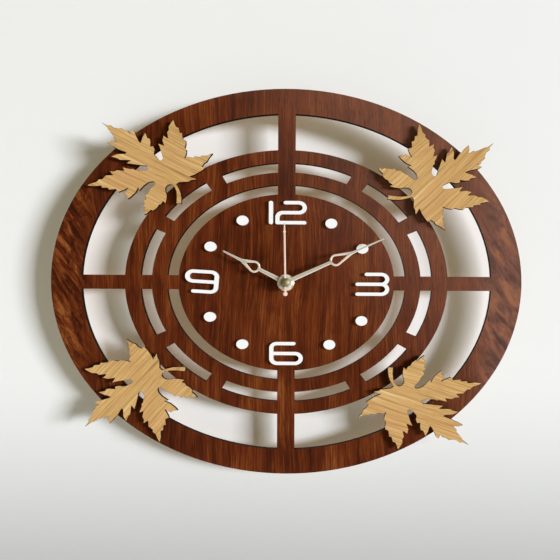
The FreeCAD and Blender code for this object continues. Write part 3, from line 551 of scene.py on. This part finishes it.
def pressed(name, u, inner, outer, height, front, clockwise):
    """A sheet whose two halves run from inner to outer half width at each distance u along
    the hand, raised by height(u, t), where t goes from 0 at the inner edge to 1 at the outer
    one. It is turned clockwise from twelve. Its shade is 1 on the crown of solid parts, where
    the material paints a grey reflection along the rib, and on the middle of the hub, where
    it paints the shadow of the cap."""
    t = (1 - np.cos(np.linspace(0.0, np.pi, 9)))[None, :] / 2
    reach = inner[:, None] + t * (outer - inner)[:, None]
    rise = height(u[:, None], t)
    angle = math.radians(clockwise)
    along = np.broadcast_to(u[:, None], reach.shape)
    points, faces = [], []
    for side in (1, -1):
        x = side * reach
        turned = (
            x * math.cos(angle) + along * math.sin(angle),
            -(front + rise),
            along * math.cos(angle) - x * math.sin(angle),
        )
        grid = quads(*reach.shape) + len(points) * reach.size
        points.append(np.stack(np.broadcast_arrays(*turned), -1).reshape(-1, 3))
        faces.append(grid if side == 1 else grid[:, ::-1])
    # Painted shade: the crown of the rib is marked for a painted grey reflection, and the middle of
    # the hub for a painted shadow of the cap.
    crown = (1 - ease(t, 0.35, 0.75)) * (1 - ease(inner[:, None], 0.0, 0.3 * MM))
    crown = np.maximum(crown, 1 - ease(np.hypot(reach, u[:, None]), 3.9 * MM, 4.7 * MM))
    piece = shown(name, np.concatenate(points), np.concatenate(faces), np.tile(crown.ravel(), 2))
    thick = piece.modifiers.new("sheet_thickness", "SOLIDIFY")
    thick.thickness = 0.42 * MM
    thick.offset = -1.0
    thick.use_even_offset = True
    return piece


def champagne(name, clockwise):
    """Champagne lacquer over brushed aluminium, the brush strokes running along the hand, with
    a painted grey reflection along the crown of the rib and a painted shadow of the cap on the hub.
    """
    f = Finish(name, Metallic=0.45, Specular_IOR_Level=0.5, Coat_Weight=0.2, Coat_Roughness=0.3)
    along = f.node(
        "Mapping",
        {"vector_type": "TEXTURE"},
        {"Vector": f.place, "Rotation": (0.0, math.radians(clockwise), 0.0)},
    )
    brush = f.noise(along, (0.16, 4.0, 9.0), 3.0, 0.6)
    film = f.noise(f.place, (3.0, 3.0, 5.0), 2.0)
    crown = f.node("Attribute", {"attribute_name": "shade"}, {}, "Fac")
    colour = f.mixed(brush, (0.86, 0.72, 0.58), (0.96, 0.86, 0.72))
    colour = f.mixed(f.step(film, 0.45, 0.8) * 0.35, colour, (0.82, 0.69, 0.55))
    # Painted reflection and shadow: grey on the crown of the rib and on the middle of the hub.
    colour = f.mixed(crown * 0.8, colour, (0.54, 0.54, 0.48))
    return f.feed(colour, 0.42 + (brush - 0.5) * 0.24, brush, 0.006)


def hand(name, node, body, boss_r, hub_r, bore, drop_start, apex, length, root, tip, clockwise):
    """A hand: hub, shaft, open drop and needle in one pressed sheet, and its boss."""
    drop_r = 4.6 * MM
    rim = 1.6 * MM
    rib = 0.22 * MM
    hub_rise = 0.34 * MM
    neck = apex - 7 * MM
    back = -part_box(node)[1].y
    front = -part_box(node)[0].y
    hole = (drop_start + rim, drop_r - rim, apex - 4.6 * rim)
    sweep = 1 - np.cos(np.linspace(0.0, np.pi, 33))
    u = np.concatenate([
        hub_r * (sweep - 1), bore * (sweep - 1), drop_start + drop_r * sweep,
        hole[0] + hole[1] * sweep, np.linspace(0.0, length, 70),
        [drop_start, hole[2], neck, apex, length - 1 * MM],
    ])
    u = np.unique(np.round(u[(u >= -hub_r) & (u <= length)], 6))
    shaft = np.where((u > 0) & (u < drop_start + 0.8 * MM), root * (1 - 0.28 * u / drop_start), 0)
    needle = np.interp(
        u, [neck, neck + 0.01 * MM, apex, length - 1 * MM, length],
        [0.0, 1.3 * MM, 0.9 * MM, tip, 0.05 * MM],
    )
    widths = (half_round(u, 0.0, hub_r), shaft, teardrop(u, drop_start, drop_r, apex), needle)
    outer = np.maximum.reduce(widths)
    inner = np.maximum(half_round(u, 0.0, bore), teardrop(u, *hole))
    split = np.where(u > hub_r, ease(inner, 0.0, 0.9 * MM), 0.0)[:, None]

    def height(along, t):
        """One minus the cube of t on the hub, and a parabola over each strip beyond it."""
        crest = 0.5 * split
        falls_in = 1 - split * ((crest - t) / np.maximum(crest, 1e-6)) ** 2
        falls_out = 1 - ((t - crest) / (1 - crest)) ** 2
        strip = np.where(t < crest, falls_in, falls_out)
        fine = np.minimum(outer[:, None] / (1.2 * MM), 1.0)
        beyond = ease(along, hub_r * 0.75, hub_r * 1.5)
        return (1 - beyond) * hub_rise * (1 - t**3) + beyond * rib * strip * fine

    lacquer = champagne(name + "_lacquer", clockwise)
    sheet = pressed(name, u, inner, outer, height, front, clockwise)
    put(sheet, body, lacquer, "champagne_aluminium", node)
    chamfer = 0.15 * MM
    ring = [
        (bore, back), (boss_r - chamfer, back), (boss_r, back + chamfer), (boss_r, front - rib),
        (bore, front - rib),
    ]
    boss = shown(name + "_boss", *revolved(ring, True))
    put(boss, body, aluminium, "champagne_aluminium")


aluminium = turned_metal("turned_aluminium", (0.72, 0.68, 0.58), 0.36)
hand(
    "hour_hand_sheet", "hour_hand", "hours_group", boss_r=3.6 * MM, hub_r=6.4 * MM, bore=2.5 * MM,
    drop_start=22.4 * MM, apex=41.5 * MM, length=54.0 * MM, root=1.8 * MM, tip=0.6 * MM,
    clockwise=-63.4,
)
hand(
    "minute_hand_sheet", "minute_hand", "minutes_group", boss_r=3.0 * MM, hub_r=5.4 * MM,
    bore=1.6 * MM, drop_start=37.5 * MM, apex=59.5 * MM, length=83.0 * MM, root=1.7 * MM,
    tip=0.45 * MM, clockwise=65.7,
)


# ---- Second hand ----------------------------------------------------------------------------
# A thin strip painted pinkish cream, with a small lozenge near its tip and a round
# counterweight. A domed cap of gilt brass covers its centre, and a tube behind it grips the
# seconds arbor.
SECOND_TURN = -1.0
SECOND_LENGTH = 45.0 * MM
SECOND_TAIL = 8.6 * MM
cap_front = -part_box("second_hand")[0].y
tube_back = -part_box("second_hand")[1].y
CAP_R = 3.4 * MM
CAP_RISE = 1.5 * MM
strip_front = cap_front - CAP_RISE


def painted():
    """Cream enamel with a faint orange peel and a few rubbed places."""
    f = Finish("cream_enamel", Specular_IOR_Level=0.5, Coat_Weight=0.3, Coat_Roughness=0.15)
    peel = f.noise(f.place, (0.7, 0.7, 0.7), 2.0)
    rubbed = f.noise(f.place, (2.0, 2.0, 6.0), 3.0)
    colour = f.mixed(f.step(rubbed, 0.4, 0.7), (0.80, 0.60, 0.48), (0.86, 0.68, 0.55))
    return f.feed(colour, 0.32 + rubbed * 0.14, peel, 0.012)


tail_r = 1.7 * MM
lozenge_at = SECOND_LENGTH - 6.5 * MM
lozenge_half = 1.8 * MM
sweep = 1 - np.cos(np.linspace(0.0, np.pi, 25))
u = np.concatenate([
    -SECOND_TAIL + tail_r * (sweep - 1), np.linspace(-SECOND_TAIL, SECOND_LENGTH, 90),
    lozenge_at + np.linspace(-lozenge_half, lozenge_half, 13),
])
u = np.unique(np.round(u, 6))
strip = np.interp(u, [0.0, lozenge_at, SECOND_LENGTH], [0.75 * MM, 0.70 * MM, 0.42 * MM])
strip = np.where(u > -SECOND_TAIL, strip, 0.0)
lozenge = np.clip(1.0 - np.abs(u - lozenge_at) / lozenge_half, 0.0, None) * 1.2 * MM
weight = half_round(u, -SECOND_TAIL, tail_r)
second_outer = np.maximum.reduce((strip, lozenge, weight))


def second_height(along, t):
    """A slight crown across the strip."""
    return 0.10 * MM * (1 - t**2) * np.ones_like(along)


second = pressed(
    "second_hand_strip", u, np.zeros_like(u), second_outer, second_height, strip_front, SECOND_TURN
)
put(second, "seconds_group", painted(), "champagne_aluminium", "second_hand")
ball = (CAP_R**2 + CAP_RISE**2) / (2 * CAP_RISE)
dome_r = np.linspace(0.0, CAP_R, 14)
dome = [(r, cap_front - ball + math.sqrt(ball**2 - r**2)) for r in dome_r]
tube_r = 1.4 * MM
below = [
    (CAP_R, strip_front - 0.4 * MM), (tube_r, strip_front - 0.4 * MM), (tube_r, tube_back),
    (0.5 * MM, tube_back), (0.5 * MM, strip_front), (0.0, strip_front),
]
gilt = turned_metal("gilt_cap", (0.33, 0.29, 0.155), 0.62)
cap = shown("second_hand_cap", *revolved((dome + below)[::-1], False))
put(cap, "seconds_group", gilt, "brass")


# ---- Battery and contacts -------------------------------------------------------------------
# One AA cell lies across the bottom of the case between two nickel-plated springs of sheet
# steel. Its printed film has a plain dark body and a gilt band at the positive end.
def cell_film():
    """A dark film with a gilt band near one end, and bare steel at both ends."""
    f = Finish("cell_film", Coat_Weight=0.5, Coat_Roughness=0.12)
    x = f.axis(f.place, "X")
    middle = (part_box("battery_cell")[0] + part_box("battery_cell")[1]) / 2
    y = f.axis(f.place, "Y") - middle.y
    z = f.axis(f.place, "Z") - middle.z
    radius = f.node("Math", {"operation": "SQRT"}, {0: y * y + z * z})
    wrinkle = f.noise(f.place, (14.0, 2.0, 2.0), 3.0)
    body = f.mixed(wrinkle, (0.016, 0.018, 0.022), (0.030, 0.032, 0.037))
    gilt_band = f.mixed(wrinkle, (0.48, 0.27, 0.09), (0.62, 0.38, 0.15))
    banded = f.mixed(f.step(x, 11.8 * MM, 11.9 * MM), body, gilt_band)
    ends = f.step(f.node("Math", {"operation": "ABSOLUTE"}, {0: x}), 22.8 * MM, 22.9 * MM)
    button = 1.0 - f.step(radius, 5.5 * MM, 5.6 * MM)
    bare = f.node("Math", {"operation": "MAXIMUM"}, {0: ends, 1: button})
    colour = f.mixed(bare, banded, (0.60, 0.60, 0.59))
    return f.feed(colour, 0.30 + wrinkle * 0.12, wrinkle, 0.03, Metallic=bare * 0.9 + 0.05)


dress(cell_film(), "battery_cell")
dress(plated("nickel_plated_steel", (0.66, 0.64, 0.60), 0.26),
      "battery_contact_positive", "battery_contact_negative")


# ---- Wall, floor and light ------------------------------------------------------------------
# The clock hangs on a white painted wall. It leans off the wall and is turned a little, as on
# a nail, so the wall is set at those angles behind it and touches the case's lower left corner.
# Light comes from a large window on the right, from the room all round, and weakly from behind.
WALL_LEAN = math.radians(1.6)
WALL_TURN = math.radians(0.7)
case_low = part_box("movement_case")[0]


def plaster(name, tint, painted_low_shade, seen_from_both_sides):
    """Matt wall paint with roller stipple, and painted shade that darkens it low down by the
    given share. A one-sided panel lets light and sight through from behind."""
    f = Finish(name)
    nodes, links = f.nodes, f.links
    stipple = f.noise(f.place, (2.6, 2.6, 2.6), 3.0, 0.6)
    cloud = f.noise(f.place, (180.0, 180.0, 180.0), 2.0)
    # Painted shade: the wall darkens towards the bottom.
    low = 1.0 - f.step(f.axis(f.place, "Z"), -320 * MM, -60 * MM)
    colour = f.mixed(cloud, tint, tuple(channel * 0.985 for channel in tint))
    colour = f.mixed(low * painted_low_shade, colour, (0.02, 0.02, 0.02))
    f.feed(colour, 0.86 + stipple * 0.08, stipple, 0.05)
    if not seen_from_both_sides:
        through = f.node("BsdfTransparent", {}, {})
        shadow = f.node("LightPath", {}, {}, "Is Shadow Ray")
        behind = f.node("NewGeometry", {}, {}, "Backfacing")
        open_side = f.node("Math", {"operation": "MAXIMUM"}, {0: shadow, 1: behind})
        blend = f.node("MixShader", {}, {0: open_side, 1: Value(f, f.shader.outputs[0]), 2: through})
        links.new(blend.socket, nodes["Material Output"].inputs["Surface"])
    return f.material


def panel(name, u_way, v_way, centre, material):
    """A flat rectangle about its centre, spanned by two half-side vectors."""
    u_way, v_way, centre = (np.array(v, float) for v in (u_way, v_way, centre))
    corners = [centre + a * u_way + b * v_way for a, b in ((-1, -1), (1, -1), (1, 1), (-1, 1))]
    mesh = bpy.data.meshes.new(name)
    mesh.from_pydata(np.array(corners), [], [(0, 1, 2, 3)])
    mesh.materials.append(material)
    made = bpy.data.objects.new(name, mesh)
    bpy.context.scene.collection.objects.link(made)


wall_right = (1.6, 1.6 * math.tan(WALL_TURN), 0.0)
wall_up = (0.0, 1.2 * math.tan(WALL_LEAN), 1.2)
wall_back = -case_low.x * math.tan(WALL_TURN) - case_low.z * math.tan(WALL_LEAN)
panel("wall", wall_right, wall_up, (0.0, wall_back, 0.0),
      plaster("wall_paint", (0.83, 0.84, 0.815), 0.58, False))
FLOOR_Z = -0.60
panel("floor", (2.5, 0.0, 0.0), (0.0, 2.5, 0.0), (0.0, 0.0, FLOOR_Z),
      plaster("pale_floor", (0.70, 0.69, 0.67), 0.0, True))


def soft_light(name, towards, distance, size, power, tint):
    """A rectangular lamp that faces the origin from the given direction."""
    lamp = bpy.data.lights.new(name, "AREA")
    lamp.shape = "RECTANGLE"
    lamp.size, lamp.size_y = size
    lamp.energy = power
    lamp.color = tint
    holder = bpy.data.objects.new(name, lamp)
    bpy.context.scene.collection.objects.link(holder)
    way = np.array(towards) / np.linalg.norm(towards)
    holder.location = way * distance
    yaw = math.atan2(way[0], -way[1])
    pitch = math.pi / 2 - math.asin(way[2])
    holder.rotation_euler = (pitch, 0.0, yaw)
    holder.visible_camera = False


soft_light("window", towards=(1.5, -1.0, 0.12), distance=20.0, size=(6.3, 4.2), power=5850.0,
           tint=(0.885, 0.912, 1.0))
soft_light("back_fill", towards=(-0.6, 1.0, 0.5), distance=3.0, size=(2.4, 2.4), power=150.0,
           tint=(1.0, 1.0, 1.0))
world = bpy.data.worlds.new("room")
bpy.context.scene.world = world
world.use_nodes = True
room = world.node_tree.nodes
# Warm light on the clock, but a plain pale backdrop where the camera sees past the wall.
room["Background"].inputs["Color"].default_value = (1.0, 0.88, 0.48, 1.0)
room["Background"].inputs["Strength"].default_value = 0.22
backdrop = room.new("ShaderNodeBackground")
backdrop.inputs["Color"].default_value = (0.80, 0.81, 0.80, 1.0)
seen = room.new("ShaderNodeLightPath")
either = room.new("ShaderNodeMixShader")
world.node_tree.links.new(seen.outputs["Is Camera Ray"], either.inputs[0])
world.node_tree.links.new(room["Background"].outputs[0], either.inputs[1])
world.node_tree.links.new(backdrop.outputs[0], either.inputs[2])
world.node_tree.links.new(either.outputs[0], room["World Output"].inputs["Surface"])
bpy.context.scene.view_settings.view_transform = "Standard"


# ---- Camera ---------------------------------------------------------------------------------
# A phone held in front of the wall, a little to the right of the hub. A small lens shift
# places the clock in its frame.
lens = bpy.data.cameras.new("phone")
lens.sensor_width = 36.0
lens.lens = 35.43
lens.shift_x = -0.0797
lens.shift_y = 0.0427
lens.clip_start = 0.01
camera = bpy.data.objects.new("phone", lens)
bpy.context.scene.collection.objects.link(camera)
camera.location = (0.030, -0.451, -0.006)
camera.rotation_euler = (math.radians(88.63), math.radians(-0.34), 0.0)
bpy.context.scene.camera = camera
